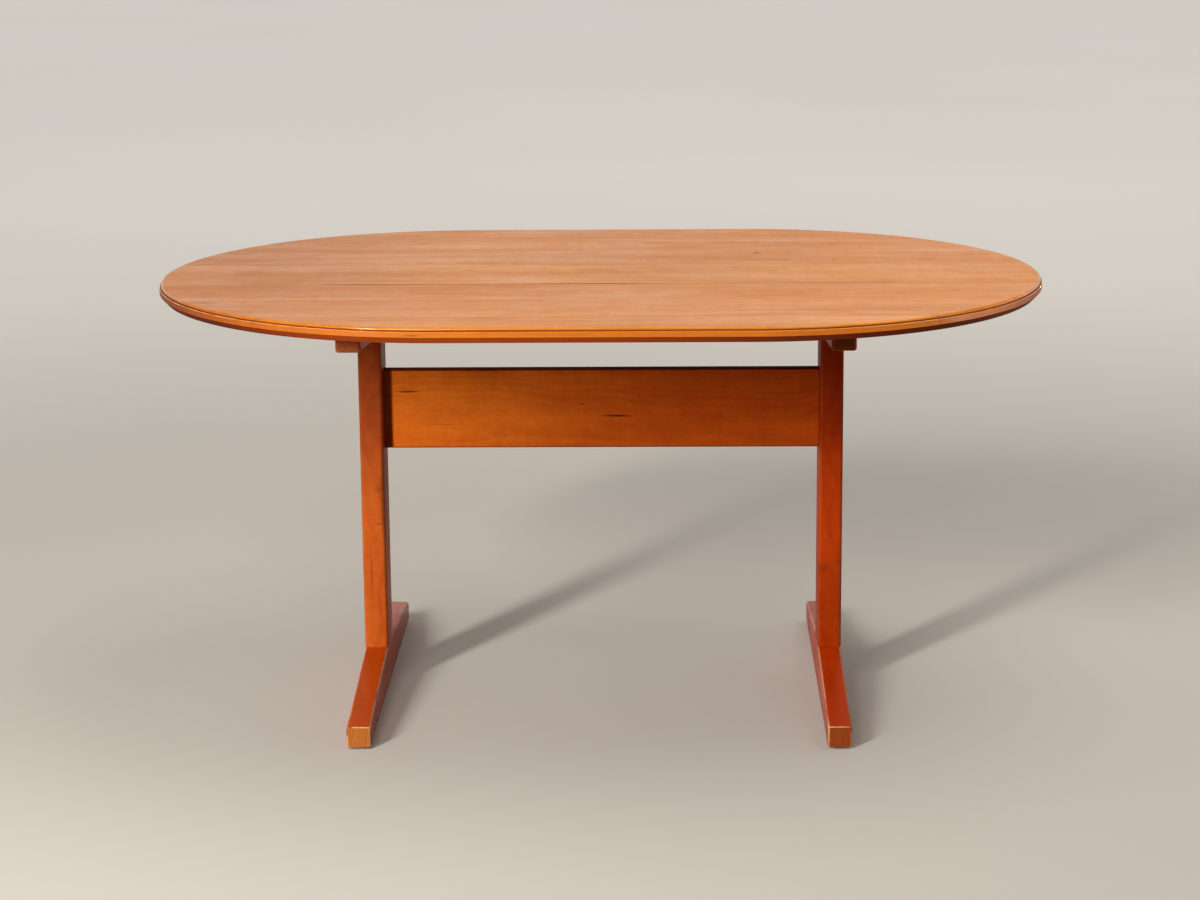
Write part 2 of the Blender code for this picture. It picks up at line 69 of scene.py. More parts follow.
# Dressed copies of the CAD nodes: distance of welded vertices, bend of faces that count as one, bend of
# edges that are eased, and how wide they are eased on each kind of piece
WELD_DISTANCE = 0.00001
FLAT_ANGLE = math.radians(0.5)
SHARP_ANGLE = math.radians(35)
EASE_SEGMENTS = 2
BOARD_EASE = 0.0002
TIMBER_EASE = 0.0005
FELT_EASE = 0.0004
STEEL_EASE = 0.0003

# Backdrop as it is seen: foot, middle and overhead, and the heights between which they blend
BACKDROP_FOOT = (0.63, 0.61, 0.57)
BACKDROP = (0.84, 0.84, 0.79)
BACKDROP_HIGH = (0.44, 0.36, 0.18)
FOOT_TO_MIDDLE = (0.0, 0.12)
MIDDLE_TO_HIGH = (0.30, 0.46)

# Backdrop as it lights the table: from the front, the right and behind, and where they blend
WORLD_FRONT = (0.04, 0.038, 0.036)
WORLD_RIGHT = (0.24, 0.23, 0.21)
WORLD_BACK = (0.42, 0.40, 0.37)
FRONT_TO_RIGHT = (0.2, 0.9)
FRONT_TO_BACK = (-0.6, 0.6)

# Floor: its size, its paint near the table and far away, and the distances between which they blend
FLOOR_SIZE = 60.0
FLOOR_NEAR = (0.54, 0.515, 0.48)
FLOOR_FAR = (0.84, 0.81, 0.77)
NEAR_TO_FAR = (1.0, 7.0)

# Colour that the floor throws on the table, distances and strengths between which its glow grows, scale,
# detail and strength of its clouds, and its gloss
FLOOR_BOUNCE = (0.28, 0.19, 0.115)
FLOOR_GLOW = (0.5, 4.5, 0.10, 0.50)
FLOOR_CLOUDS = ((0.6, 0.6, 0.6), 3.0)
CLOUD_STRENGTH = 0.08
FLOOR_ROUGHNESS = 0.85
FLOOR_SPECULAR = 0.1

# Lamps: name, place, aim, size, beam in degrees, power and colour
LIGHTS = (
    ("key", (-3.18, -5.04, 3.03), (-0.55, 0.0, 0.5), (0.5, 2.3), 60, 46, (1.0, 0.95, 0.88)),
    ("second", (-0.90, -2.77, 2.62), (0.0, 0.0, 0.5), (0.9, 0.9), 180, 31, (1.0, 0.95, 0.88)),
    ("overhead", (1.0, 0.2, 3.2), (0.4, 0.0, 0.7), (2.4, 2.4), 180, 40, (1.0, 0.96, 0.90)),
    ("strip", (-2.03, -3.34, 1.10), (-0.38, -0.48, 0.73), (0.5, 1.2), 100, 4.4, (1.0, 0.96, 0.90)),
    ("edge", (3.40, -0.10, 0.68), (0.70, -0.20, 0.752), (0.4, 0.1), 8, 0.22, (1.0, 0.93, 0.84)),
)

# Varnished wood: light and dark tone of the top, dark tone of the base against its light one, bare wood,
# also used as painted highlight and sheen, stains and marks, the quirk's also painted shade, and the tint
# of the gloss
TOP_LIGHT = (0.668, 0.228, 0.0228)
TOP_DARK = (0.478, 0.137, 0.0113)
BASE_DARK = (0.68, 0.50, 0.45)
BARE_WOOD_AND_HIGHLIGHT = (0.720, 0.430, 0.200)
STAIN = (0.050, 0.014, 0.006)
QUIRK_STAIN_AND_SHADE = (0.190, 0.022, 0.001)
RED_MARK = (0.230, 0.034, 0.006)
KNOT_BROWN = (0.090, 0.024, 0.004)
BROAD_MARK = (0.430, 0.115, 0.013)
TOP_GLOSS = (1.0, 0.90, 0.68)
BASE_GLOSS = (1.0, 0.72, 0.45)

# Noises of the wood: scale along and across the grain, detail and roughness. Each seed shifts them.
NOISES = {
    "sway": (1.4, 1.0, 2.0, 0.5),
    "lift": (2.3, 0.7, 2.0, 0.5),
    "ragged": (14.0, 90.0, 2.0, 0.5),
    "fibre": (16.0, 420.0, 3.0, 0.6),
    "dots": (30.0, 1500.0, 1.0, 0.5),
    "patches": (16.0, 45.0, 3.0, 0.6),
    "smudges": (5.0, 9.0, 4.0, 0.6),
    "ripple": (40.0, 110.0, 2.0, 0.5),
    "uneven": (5.0, 0.2, 2.0, 0.5),
    "wander": (60.0, 5.0, 2.0, 0.5),
}
NOISE_MIDDLE = 0.5
SEED_SHIFT = (3.17, 1.31, 0.73)

# Figure of the wood: how dark it is without any, how much waves of each scale along and across the grain
# darken it, and how much the growth rings and the fibres do
TOP_FIGURE = {
    "start": -0.21,
    "waves": (
        ((0.7, 15.0), 0.20),
        ((1.6, 11.0), 0.46),
        ((6.0, 48.0), 0.11),
        ((15.0, 34.0), 0.13),
        ((75.0, 160.0), 0.15),
        ((65.0, 17.0), 0.12),
    ),
    "rings": 0.20,
    "fibre": 0.20,
}
BASE_FIGURE = {
    "start": -0.30,
    "waves": (
        ((1.6, 11.0), 0.44),
        ((6.0, 48.0), 0.16),
        ((15.0, 34.0), 0.20),
        ((75.0, 160.0), 0.22),
        ((65.0, 17.0), 0.18),
    ),
    "rings": 0.30,
    "fibre": 0.28,
}
WAVE_NOISE = (3.0, 0.6)
WAVE_RANGE = (0.30, 0.70)

# Growth rings: their width, how far the pith sways and lifts, how ragged they are, where in a ring the
# late wood is none, full, full and none, and the strength of the faintest year
TOP_RING = 0.0058
BASE_RING = 0.0046
PITH_SWAY = 0.08
PITH_LIFT = 0.10
RAGGED_DEPTH = 0.0022
LATE_WOOD = (0.2, 0.9, 0.92, 1.0)
FAINTEST_YEAR = 0.25

# Flecks: cells in a metre along, across and deep, fading in from the rim, chance, and strength
FLECK_CELLS = (120.0, 1700.0, 1700.0)
FLECK_RIM = (0.30, 0.12)
FLECK_CHANCE = (0.55, 0.95)
FLECK_STAIN = 0.30

# End grain: how squarely its faces are cut, how much rings and dots darken it, and its dark tone as a
# share of its light one
END_FACING = (0.70, 0.95)
END_RINGS = 0.55
END_DOTS = (0.45, 0.75, 0.0, 0.35)
END_DARK = 0.42

# Rubbed edges, along the feet partly painted sheen: where a face turns round, and where its patches begin
# and are full
ROUND_FACE = (0.985, 0.80)
RUBBED_AND_SHEEN_PATCHES = (0.34, 0.58)

# Varnish: range of its smudges, how much they change its roughness, how much rougher dark wood and how
# much smoother a polished edge is, weights in its relief, and strength and depth of the bump
SMUDGES = (0.25, 0.75)
SMUDGE_GLOSS = 0.09
DARK_DULLS = 0.16
EDGE_POLISH = 0.19
FIBRE_RELIEF = 0.6
RIPPLE_RELIEF = 0.4
FLECK_RELIEF = 0.5
VARNISH_BUMP = (0.08, 0.0004)

# Marks fade in from their rim to their middle
MARK_RIM = (1.0, 0.15)

# Boards: how far the pith swings sideways, its step from one board to the next, and its height in even and
# odd ones
PITH_SIDEWAYS = 0.05
PITH_TURN = 2.1
PITH_HEIGHTS = (0.83, 0.65)

# Tone of each board against the top's own, from the front to the back
BOARD_TONES = (
    (1.03, 1.05, 1.05),
    (1.00, 0.97, 0.96),
    (0.97, 0.95, 0.95),
    (1.00, 1.04, 0.95),
    (0.95, 0.93, 0.96),
    (0.97, 0.95, 1.00),
    (0.97, 0.97, 1.00),
)

# Board joints: place across the top, half width of the dull seam, how dark it is, and where it is darkest
SEAMS = (
    (-0.4115, 0.003, 0.20, (-0.50, 0.50)),
    (-0.2540, 0.003, 0.28, (-0.30, 0.10)),
    (-0.1016, 0.0040, 1.00, (-0.42, 0.05)),
    (-0.1016, 0.0040, 0.65, (0.38, 0.46)),
    (0.1016, 0.003, 0.15, (-0.60, 0.60)),
    (0.2540, 0.003, 0.15, (-0.60, 0.60)),
    (0.4115, 0.003, 0.10, (-0.50, 0.50)),
)

# A seam's reach past its board, its middle as a share of its half width, its uneven strength, how far its
# darkest stretch fades out, what share is left beyond that, and its stain
SEAM_REACH = 0.002
SEAM_MIDDLE = 0.3
SEAM_UNEVEN = (0.3, 0.55, 0.6, 1.0)
SEAM_FADE = 0.1
SEAM_BEYOND = 0.4
SEAM_STAIN = 0.90

# Marks on the top: centre, half size, strength and colour
KNOT = (0.2782, 0.2147)
TOP_MARKS = (
    (KNOT, (0.017, 0.014), 0.45, RED_MARK),
    (KNOT, (0.0075, 0.0095), 1.00, KNOT_BROWN),
    ((-0.652, -0.274), (0.040, 0.014), 0.55, RED_MARK),
    ((-0.6545, 0.230), (0.036, 0.013), 0.40, RED_MARK),
    ((-0.0735, 0.3285), (0.011, 0.008), 0.60, RED_MARK),
    ((-0.520, 0.030), (0.300, 0.170), 0.35, BROAD_MARK),
)

# Dark mark on the moulded edge: centre along and up, half size and strength, and where the front begins
EDGE_MARK = ((-0.287, 0.7280), (0.020, 0.0024), 0.45)
FRONT_EDGE = (-0.47, -0.49)

# Tone of the top along the grain: where it begins to change, where it has changed, and by what factors
TOP_DRIFTS = (
    (-0.20, -0.66, (0.86, 0.82, 0.82)),
    (0.05, 0.60, (1.13, 1.13, 0.89)),
)

# End grain of the top as a share of its dark tone
TOP_END = 0.72

# Moulded edge by how far its faces look up: tone of the roundover, the upright band, and painted shade on
# the under-bevel
BAND = (0.35, 0.05)
UNDER = (-0.20, -0.60)
FACE_TONES_AND_PAINTED_SHADE = (
    ((0.95, 0.70), (0.95, 0.92, 0.85)),
    (BAND, (1.0, 0.85, 0.72)),
    (UNDER, (0.80, 0.45, 0.35)),
)

# Painted shade on some stretches of the moulded edge, the under-bevel towards the right and both ends:
# where they begin and are full along the top, how far their faces look up, and the factors
MOULDING_PAINTED_SHADE = (
    ((-0.05, 0.45), UNDER, (0.38, 0.30, 0.28)),
    ((-0.45, -0.72), (0.90, 0.30), (0.62, 0.54, 0.48)),
    ((0.48, 0.74), BAND, (0.80, 0.73, 0.55)),
    ((-0.38, -0.68), UNDER, (0.50, 0.42, 0.38)),
    ((0.38, 0.68), UNDER, (0.50, 0.42, 0.38)),
)

# Stain and painted shade in the quirk of the moulded edge: heights where it is none, full, full and none,
# and its strength
QUIRK = (0.7336, 0.7339, 0.7356, 0.7368)
QUIRK_STRENGTH = 0.95

# Rubbed shoulders of the moulded edge, by how far they look up, and their patches
SHOULDER = (0.35, 0.6, 0.8, 0.95)
SHOULDER_PATCHES = (0.45, 0.7, 0.0, 0.18)

# Painted highlight along the step of the moulded edge: heights where it begins and is full, its patches,
# and where along the top it begins and is full
STEP = (0.7339, 0.7336)
STEP_PATCHES = (0.36, 0.52, 0.35, 1.0)
STEP_ENDS = (0.34, 0.48, 0.0, 0.85)

# Varnish of the top: roughness and refraction, and the polished roundings by how far they look up
TOP_FINISH = (0.32, 1.42)
POLISHED = (0.10, 0.35, 0.93, 0.99)

# Dull parts of the top: the underside, and the ends of the band by place, by facing and by amount
DULL_UNDERSIDE = (-0.1, -0.5)
DULL_ENDS = (0.40, 0.68)
DULL_BAND = (0.35, 0.10)
DULL_AMOUNT = 0.60

# Marks on the front of a timber: centre along and across the grain, half size, strength
FRONT_MARKS = {
    "stretcher": (
        ((-0.339, 0.5345), (0.030, 0.0024), 0.95),
        ((0.028, 0.4896), (0.036, 0.0030), 0.95),
        ((-0.0333, 0.5111), (0.006, 0.0022), 0.80),
        ((-0.275, 0.4750), (0.050, 0.0012), 0.35),
    ),
    "left_post": (
        ((0.3655, -0.3915), (0.010, 0.011), 0.28),
        ((0.3035, -0.3905), (0.004, 0.009), 0.40),
        ((0.3500, -0.3830), (0.110, 0.007), 0.50),
        ((0.2230, -0.4070), (0.065, 0.0022), 0.40),
    ),
    "right_post": (
        ((0.2800, 0.4005), (0.007, 0.005), 0.30),
        ((0.2320, 0.4140), (0.006, 0.007), 0.32),
        ((0.2220, 0.3880), (0.011, 0.013), 0.28),
    ),
}

# Depth where the front half of a timber begins and its marks are full, and how far the marks wander
FRONT_HALF = (0.0, -0.010)
MARK_WANDER = 0.004

# Painted shade on the top and bottom edges of the stretcher, and painted shadow of the left post on its
# left
# end: facing of the edges, heights of the lower edge above the bottom, place and strength of the end,
# their shade, and how dull the edges are
EDGE_FACE = (0.15, 0.60)
LOWER_EDGE = (0.0032, 0.0012)
LEFT_END_SHADOW = (-0.3655, -0.3705, 0.0, 0.85)
STRETCHER_PAINTED_SHADE = (0.30, 0.24, 0.24)
EDGE_DULL = 0.85

# Where the rubbed ends of a timber begin and are full, by its grain direction
RUBBED_ENDS = {"X": (0.36, 0.38), "Y": (0.360, 0.378), "Z": (0.60, 0.70)}

# Timbers of the base: grain, pith across and deep, tone and its drifts along the grain (painted shade on
# the upper posts and the stretcher), end grain, rubbed edges between the ends and at them (between the
# ends of the feet partly painted sheen), roughness and refraction of the varnish
TIMBERS = {
    "left_foot": {
        "axis": "Y",
        "pith": (-0.56, 0.05),
        "tone": (0.550, 0.077, 0.003),
        "drifts_and_painted_shade": ((0.0, 0.2, (0.90, 0.90, 0.90)),),
        "end": (0.500, 0.163, 0.031),
        # between the ends partly painted sheen along the long edges
        "rubbed_and_sheen": (0.50, 0.95),
        "finish": (0.26, 1.16),
    },
    "left_post": {
        "axis": "Z",
        "pith": (-0.37, 0.10),
        "tone": (0.590, 0.132, 0.017),
        # the upper post darker: painted shadow of the tabletop
        "drifts_and_painted_shade": ((0.28, 0.52, (0.62, 0.51, 0.82)),),
        "end": (0.330, 0.070, 0.010),
        "rubbed_and_sheen": (0.06, 0.15),
        "finish": (0.45, 1.20),
    },
    "left_bearer": {
        "axis": "Y",
        "pith": (-0.53, 0.62),
        "tone": (0.460, 0.085, 0.014),
        "drifts_and_painted_shade": ((0.0, 0.3, (0.90, 0.90, 0.90)),),
        "end": (0.490, 0.128, 0.043),
        "rubbed_and_sheen": (0.06, 0.15),
        "finish": (0.45, 1.20),
    },
    "right_foot": {
        "axis": "Y",
        "pith": (0.55, 0.02),
        "tone": (0.520, 0.045, 0.002),
        "drifts_and_painted_shade": ((0.0, 0.2, (0.90, 0.90, 0.90)),),
        "end": (0.340, 0.068, 0.013),
        # between the ends partly painted sheen along the long edges
        "rubbed_and_sheen": (0.50, 0.95),
        "finish": (0.26, 1.16),
    },
    "right_post": {
        "axis": "Z",
        "pith": (0.43, 0.11),
        "tone": (0.490, 0.050, 0.003),
        # darker towards the bottom, and the upper post darker as painted shadow of the tabletop
        "drifts_and_painted_shade": ((0.27, 0.21, (0.82, 0.84, 0.84)), (0.42, 0.48, (0.76, 0.70, 0.90))),
        "end": (0.300, 0.055, 0.008),
        "rubbed_and_sheen": (0.06, 0.15),
        "finish": (0.45, 1.20),
    },
    "right_bearer": {
        "axis": "Y",
        "pith": (0.52, 0.61),
        "tone": (0.400, 0.055, 0.006),
        "drifts_and_painted_shade": ((0.0, 0.3, (0.90, 0.90, 0.90)),),
        "end": (0.200, 0.040, 0.010),
        "rubbed_and_sheen": (0.06, 0.15),
        "finish": (0.45, 1.20),
    },
    "stretcher": {
        "axis": "X",
        "pith": (0.11, 0.47),
        "tone": (0.790, 0.190, 0.0145),
        # darker towards the right end: painted shade of the tabletop
        "drifts_and_painted_shade": ((-0.28, 0.20, (0.72, 0.51, 0.46)),),
        "end": (0.300, 0.070, 0.010),
        "rubbed_and_sheen": (0.06, 0.10),
        "finish": (0.45, 1.20),
    },
}

# Dowels: tones, end grain, pith, ring width, seed, roughness and refraction
DOWEL_TONES = ((0.60, 0.42, 0.24), (0.48, 0.31, 0.16))
DOWEL_END = (0.50, 0.33, 0.18)
DOWEL_PITH = (0.2, 0.6)
DOWEL_RING = 0.002
DOWEL_SEED = 20
DOWEL_FINISH = (0.6, 1.4)

# Steel: dark and pale tone, scale and detail of its clouds and grain, how the clouds change its roughness,
# and strength and depth of the bump
STEEL_DARK = (0.48, 0.48, 0.46)
STEEL_PALE = (0.70, 0.70, 0.68)
STEEL_CLOUDS = ((220.0, 220.0, 220.0), 3.0)
STEEL_GRAIN = ((2600.0, 2600.0, 2600.0), 2.0)
STEEL_ROUGHNESS = (0.3, 0.7, 0.26, 0.44)
STEEL_BUMP = (0.15, 0.0001)

# Felt: dark and pale tone, scale, detail, roughness and distortion of its hairs, strength and depth of the
# bump, roughness and sheen
FELT_DARK = (0.020, 0.014, 0.011)
FELT_PALE = (0.075, 0.056, 0.045)
FELT_HAIRS = ((1900.0, 1900.0, 700.0), 4.0, 0.7, 1.5)
FELT_BUMP = (0.6, 0.0006)
FELT_ROUGHNESS = 0.95
FELT_SHEEN = 0.3


class Nodes:
    """Builds one node tree. Values may be numbers, tuples or sockets."""

    # Colour sockets of a Mix node
    MIX_COLOURS = (6, 7)
    MIX_RESULT = 2

    def __init__(self, tree):
        self.tree = tree

    def add(self, kind, settings=None, **inputs):
        node = self.tree.nodes.new(kind)
        for name, value in (settings or {}).items():
            setattr(node, name, value)
        for name, value in inputs.items():
            self.set(node.inputs[name], value)
        return node

    def set(self, socket, value):
        if isinstance(value, bpy.types.NodeSocket):
            self.tree.links.new(value, socket)
        elif socket.type == "RGBA":
            socket.default_value = (*value, 1.0)
        else:
            socket.default_value = value

    def math(self, operation, *values):
        node = self.tree.nodes.new("ShaderNodeMath")
        node.operation = operation
        for socket, value in zip(node.inputs, values):
            self.set(socket, value)
        return node.outputs[0]

    def fold(self, operation, first, *others):
        """One operation taken over several values in turn."""
        for value in others:
            first = self.math(operation, first, value)
        return first

    def length(self, u, v):
        squares = self.math("ADD", self.math("MULTIPLY", u, u), self.math("MULTIPLY", v, v))
        return self.math("SQRT", squares)

    def vector(self, operation, first, second):
        node = self.tree.nodes.new("ShaderNodeVectorMath")
        node.operation = operation
        self.set(node.inputs[0], first)
        self.set(node.inputs[1], second)
        return node.outputs["Vector"]

    def split(self, vector):
        return self.add("ShaderNodeSeparateXYZ", Vector=vector).outputs

    def join(self, x, y, z):
        return self.add("ShaderNodeCombineXYZ", X=x, Y=y, Z=z).outputs[0]

    def object_place(self):
        return self.add("ShaderNodeTexCoord").outputs["Object"]

    def noise(self, place, scale, detail, roughness=0.5, distortion=0.0):
        node = self.add(
            "ShaderNodeTexNoise",
            Vector=self.vector("MULTIPLY", place, scale),
            Scale=1.0,
            Detail=detail,
            Roughness=roughness,
            Distortion=distortion,
        )
        return node.outputs["Fac"]

    def spread(self, value, low, high, to_low=0.0, to_high=1.0):
        """Value moved smoothly from one range to another."""
        node = self.tree.nodes.new("ShaderNodeMapRange")
        node.interpolation_type = "SMOOTHSTEP"
        for socket, item in zip(node.inputs, (value, low, high, to_low, to_high)):
            self.set(socket, item)
        return node.outputs[0]

    def between(self, value, none_below, full_from, full_to, none_above):
        """1 in the middle of a range, fading to 0 on both sides of it."""
        rise = self.spread(value, none_below, full_from)
        return self.math("MULTIPLY", rise, self.spread(value, none_above, full_to))

    def mix(self, factor, first, second, blend="MIX"):
        node = self.tree.nodes.new("ShaderNodeMix")
        node.data_type = "RGBA"
        node.blend_type = blend
        self.set(node.inputs[0], factor)
        for index, colour in zip(self.MIX_COLOURS, (first, second)):
            self.set(node.inputs[index], colour)
        return node.outputs[self.MIX_RESULT]

    def bump(self, shader, height, strength, distance):
        node = self.add("ShaderNodeBump", Strength=strength, Distance=distance, Height=height)
        self.set(shader.inputs["Normal"], node.outputs[0])


def new_material(slot):
    material = bpy.data.materials.new(f"{slot}_look")
    material.use_nodes = True
    nodes = Nodes(material.node_tree)
    return material, nodes, material.node_tree.nodes["Principled BSDF"]


def grain_axes(nodes, axis):
    """Object coordinates as sockets along the grain, across it and deep into it."""
    x, y, z = nodes.split(nodes.object_place())
    return {"X": (x, y, z), "Y": (y, x, z), "Z": (z, x, y)}[axis]


def mark(nodes, along, across, centre, half):
    """Lens-shaped mark on a face, 1 in its middle and 0 beyond its rim."""
    u = nodes.math("DIVIDE", nodes.math("SUBTRACT", along, centre[0]), half[0])
    v = nodes.math("DIVIDE", nodes.math("SUBTRACT", across, centre[1]), half[1])
    return nodes.spread(nodes.length(u, v), *MARK_RIM)


def scaled(colour, factor):
    return tuple(part * factor for part in colour)


def tinted(tone, factors):
    return tuple(part * factor for part, factor in zip(tone, factors))


class Wood:
    """Varnished solid timber: growth rings, streaks, fibres and flecks in three dimensions."""

    def __init__(self, slot, axis, seed, tones, pith, ring_width, figure):
        self.material, self.nodes, self.shader = new_material(slot)
        self.axis = axis
        nodes = self.nodes
        self.axes = grain_axes(nodes, axis)
        self.place = nodes.vector("ADD", nodes.join(*self.axes), scaled(SEED_SHIFT, seed))
        self.normal = nodes.split(nodes.add("ShaderNodeNewGeometry").outputs["Normal"])
        self.rings = self.growth_rings(pith, ring_width)
        self.fibre = self.noise(*NOISES["fibre"])
        self.fleck = self.flecks()
        depth = nodes.math("MULTIPLY_ADD", self.fibre, figure["fibre"], figure["start"])
        for scale, weight in figure["waves"]:
            wave = nodes.spread(self.noise(*scale, *WAVE_NOISE), *WAVE_RANGE)
            depth = nodes.math("MULTIPLY_ADD", wave, weight, depth)
        self.depth = nodes.math("MULTIPLY_ADD", self.rings, figure["rings"], depth)
        self.colour = nodes.mix(self.depth, *tones)
        self.tint(STAIN, self.fleck, FLECK_STAIN)

    def noise(self, along, across, detail, roughness):
        return self.nodes.noise(self.place, (along, across, across), detail, roughness)

    def waver(self, name):
        """Named noise, about 0."""
        return self.nodes.math("SUBTRACT", self.noise(*NOISES[name]), NOISE_MIDDLE)

    def growth_rings(self, pith, width):
        """Late wood of growth rings about a wandering pith, from 0 to 1."""
        nodes = self.nodes
        across, deep = self.axes[1:]
        side = nodes.math("SUBTRACT", across, pith[0])
        side = nodes.math("MULTIPLY_ADD", self.waver("sway"), PITH_SWAY, side)
        down = nodes.math("SUBTRACT", deep, pith[1])
        down = nodes.math("MULTIPLY_ADD", self.waver("lift"), PITH_LIFT, down)
        reach = nodes.math("MULTIPLY_ADD", self.waver("ragged"), RAGGED_DEPTH, nodes.length(side, down))
        count = nodes.math("DIVIDE", reach, width)
        late = nodes.between(nodes.math("FRACT", count), *LATE_WOOD)
        number = nodes.math("FLOOR", count)
        year = nodes.add("ShaderNodeTexWhiteNoise", {"noise_dimensions": "1D"}, W=number).outputs["Value"]
        return nodes.math("MULTIPLY", late, nodes.spread(year, 0.0, 1.0, FAINTEST_YEAR, 1.0))

    def flecks(self):
        """Short dark dashes along the grain, few of them strong."""
        nodes = self.nodes
        cells = nodes.vector("MULTIPLY", self.place, FLECK_CELLS)
        cell = nodes.add("ShaderNodeTexVoronoi", Vector=cells, Scale=1.0).outputs
        dash = nodes.spread(cell["Distance"], *FLECK_RIM)
        chance = nodes.split(cell["Color"])[0]
        return nodes.math("MULTIPLY", dash, nodes.spread(chance, *FLECK_CHANCE))

    def tint(self, colour, *factors):
        """Mixes a colour in, by the product of the factors."""
        self.colour = self.nodes.mix(self.nodes.fold("MULTIPLY", *factors), self.colour, colour)

    def shade(self, tone, *factors):
        """Multiplies the colour by a tone, by the product of the factors."""
        self.colour = self.nodes.mix(self.nodes.fold("MULTIPLY", *factors), self.colour, tone, "MULTIPLY")

    def drift(self, low, high, tone):
        """Tone that changes along the grain, from the wood's own at low to full at high; where it darkens
        the upper posts and the stretcher it is painted shade.
        """
        self.shade(tone, self.nodes.spread(self.axes[0], low, high))

    def end_grain(self, colour):
        """Colour of the faces cut across the grain, with their rings drawn stronger."""
        nodes = self.nodes
        facing = nodes.math("ABSOLUTE", self.normal["XYZ".index(self.axis)])
        dots = nodes.spread(self.noise(*NOISES["dots"]), *END_DOTS)
        shade = nodes.math("MULTIPLY_ADD", self.rings, END_RINGS, dots)
        ends = nodes.mix(shade, colour, scaled(colour, END_DARK))
        self.tint(ends, nodes.spread(facing, *END_FACING))

    def rubbed_and_sheen_edges(self, between, amount, ends):
        """Roundings rubbed to bare wood in places, by one amount between the ends and another at them;
        along the feet the pale roundings are partly painted sheen.
        """
        nodes = self.nodes
        flattest = nodes.fold("MAXIMUM", *(nodes.math("ABSOLUTE", part) for part in self.normal))
        patches = nodes.spread(self.noise(*NOISES["patches"]), *RUBBED_AND_SHEEN_PATCHES)
        share = nodes.spread(nodes.math("ABSOLUTE", self.axes[0]), *ends, between, amount)
        # bare wood on rounded edges; along the feet also painted sheen
        self.tint(BARE_WOOD_AND_HIGHLIGHT, nodes.spread(flattest, *ROUND_FACE), patches, share)

    def finish(self, roughness, ior, gloss_tint, dullest=0.0, polished=0.0):
        """Varnish: uneven gloss, less on dark wood, and the faint relief of the fibres under it."""
        nodes = self.nodes
        inputs = self.shader.inputs
        nodes.set(inputs["Base Color"], self.colour)
        gloss = nodes.spread(self.noise(*NOISES["smudges"]), *SMUDGES, roughness - SMUDGE_GLOSS, roughness)
        gloss = nodes.math("MULTIPLY_ADD", self.depth, DARK_DULLS, gloss)
        gloss = nodes.math("MULTIPLY_ADD", polished, -EDGE_POLISH, gloss)
        nodes.set(inputs["Roughness"], nodes.math("MAXIMUM", gloss, dullest))
        height = nodes.math("MULTIPLY", self.noise(*NOISES["ripple"]), RIPPLE_RELIEF)
        height = nodes.math("MULTIPLY_ADD", self.fibre, FIBRE_RELIEF, height)
        height = nodes.math("SUBTRACT", height, nodes.math("MULTIPLY", self.fleck, FLECK_RELIEF))
        nodes.bump(self.shader, height, *VARNISH_BUMP)
        inputs["IOR"].default_value = ior
        inputs["Specular Tint"].default_value = (*gloss_tint, 1.0)
        return self.material


def board_joints(wood, front, back):
    """Dull seams along the edges of a board, from 0 to 1."""
    nodes = wood.nodes
    along, across = wood.axes[:2]
    uneven = nodes.spread(wood.noise(*NOISES["uneven"]), *SEAM_UNEVEN)
    seams = []
    for place, width, strength, (left, right) in SEAMS:
        if front - SEAM_REACH < place < back + SEAM_REACH:
            away = nodes.math("ABSOLUTE", nodes.math("SUBTRACT", across, place))
            line = nodes.spread(away, width, SEAM_MIDDLE * width)
            darkest = nodes.between(along, left - SEAM_FADE, left, right, right + SEAM_FADE)
            shown = nodes.spread(darkest, 0.0, 1.0, strength * SEAM_BEYOND, strength)
            seams.append(nodes.fold("MULTIPLY", line, uneven, shown))
    return nodes.fold("MAXIMUM", *seams)


def board_marks(wood, front, back):
    """Knot and marks on a board, and the dark mark on the moulded edge."""
    nodes = wood.nodes
    along, across, deep = wood.axes
    for centre, half, strength, colour in TOP_MARKS:
        if front - half[1] < centre[1] < back + half[1]:
            wood.tint(colour, mark(nodes, along, across, centre, half), strength)
    centre, half, strength = EDGE_MARK
    wood.tint(STAIN, mark(nodes, along, deep, centre, half), nodes.spread(across, *FRONT_EDGE), strength)


def moulded_edge(wood, quirk):
    """Tones, stain and wear of a board's part of the moulded edge, with painted shade in its quirk, on its
    under-bevel and at its ends, and a painted highlight along its step.
    """
    nodes = wood.nodes
    along, deep = wood.axes[0], wood.axes[2]
    upward = wood.normal[2]
    # tones of the roundover and band; the darker under-bevel is painted shade
    for facing, tone in FACE_TONES_AND_PAINTED_SHADE:
        wood.shade(tone, nodes.spread(upward, *facing))
    # dark quirk line: stain and painted shade
    wood.tint(QUIRK_STAIN_AND_SHADE, quirk, QUIRK_STRENGTH)
    shoulder = nodes.between(upward, *SHOULDER)
    patches = wood.noise(*NOISES["patches"])
    wood.tint(BARE_WOOD_AND_HIGHLIGHT, shoulder, nodes.spread(patches, *SHOULDER_PATCHES))
    # pale line along the step towards the ends: painted highlight
    step = nodes.math("MULTIPLY", shoulder, nodes.spread(deep, *STEP))
    step_highlight = nodes.math("MULTIPLY", step, nodes.spread(patches, *STEP_PATCHES))
    wood.tint(BARE_WOOD_AND_HIGHLIGHT, step_highlight, nodes.spread(nodes.math("ABSOLUTE", along), *STEP_ENDS))
    # painted shade on the under-bevel towards the right and at both ends of the moulded edge
    for stretch, facing, tone in MOULDING_PAINTED_SHADE:
        wood.shade(tone, nodes.spread(along, *stretch), nodes.spread(upward, *facing))


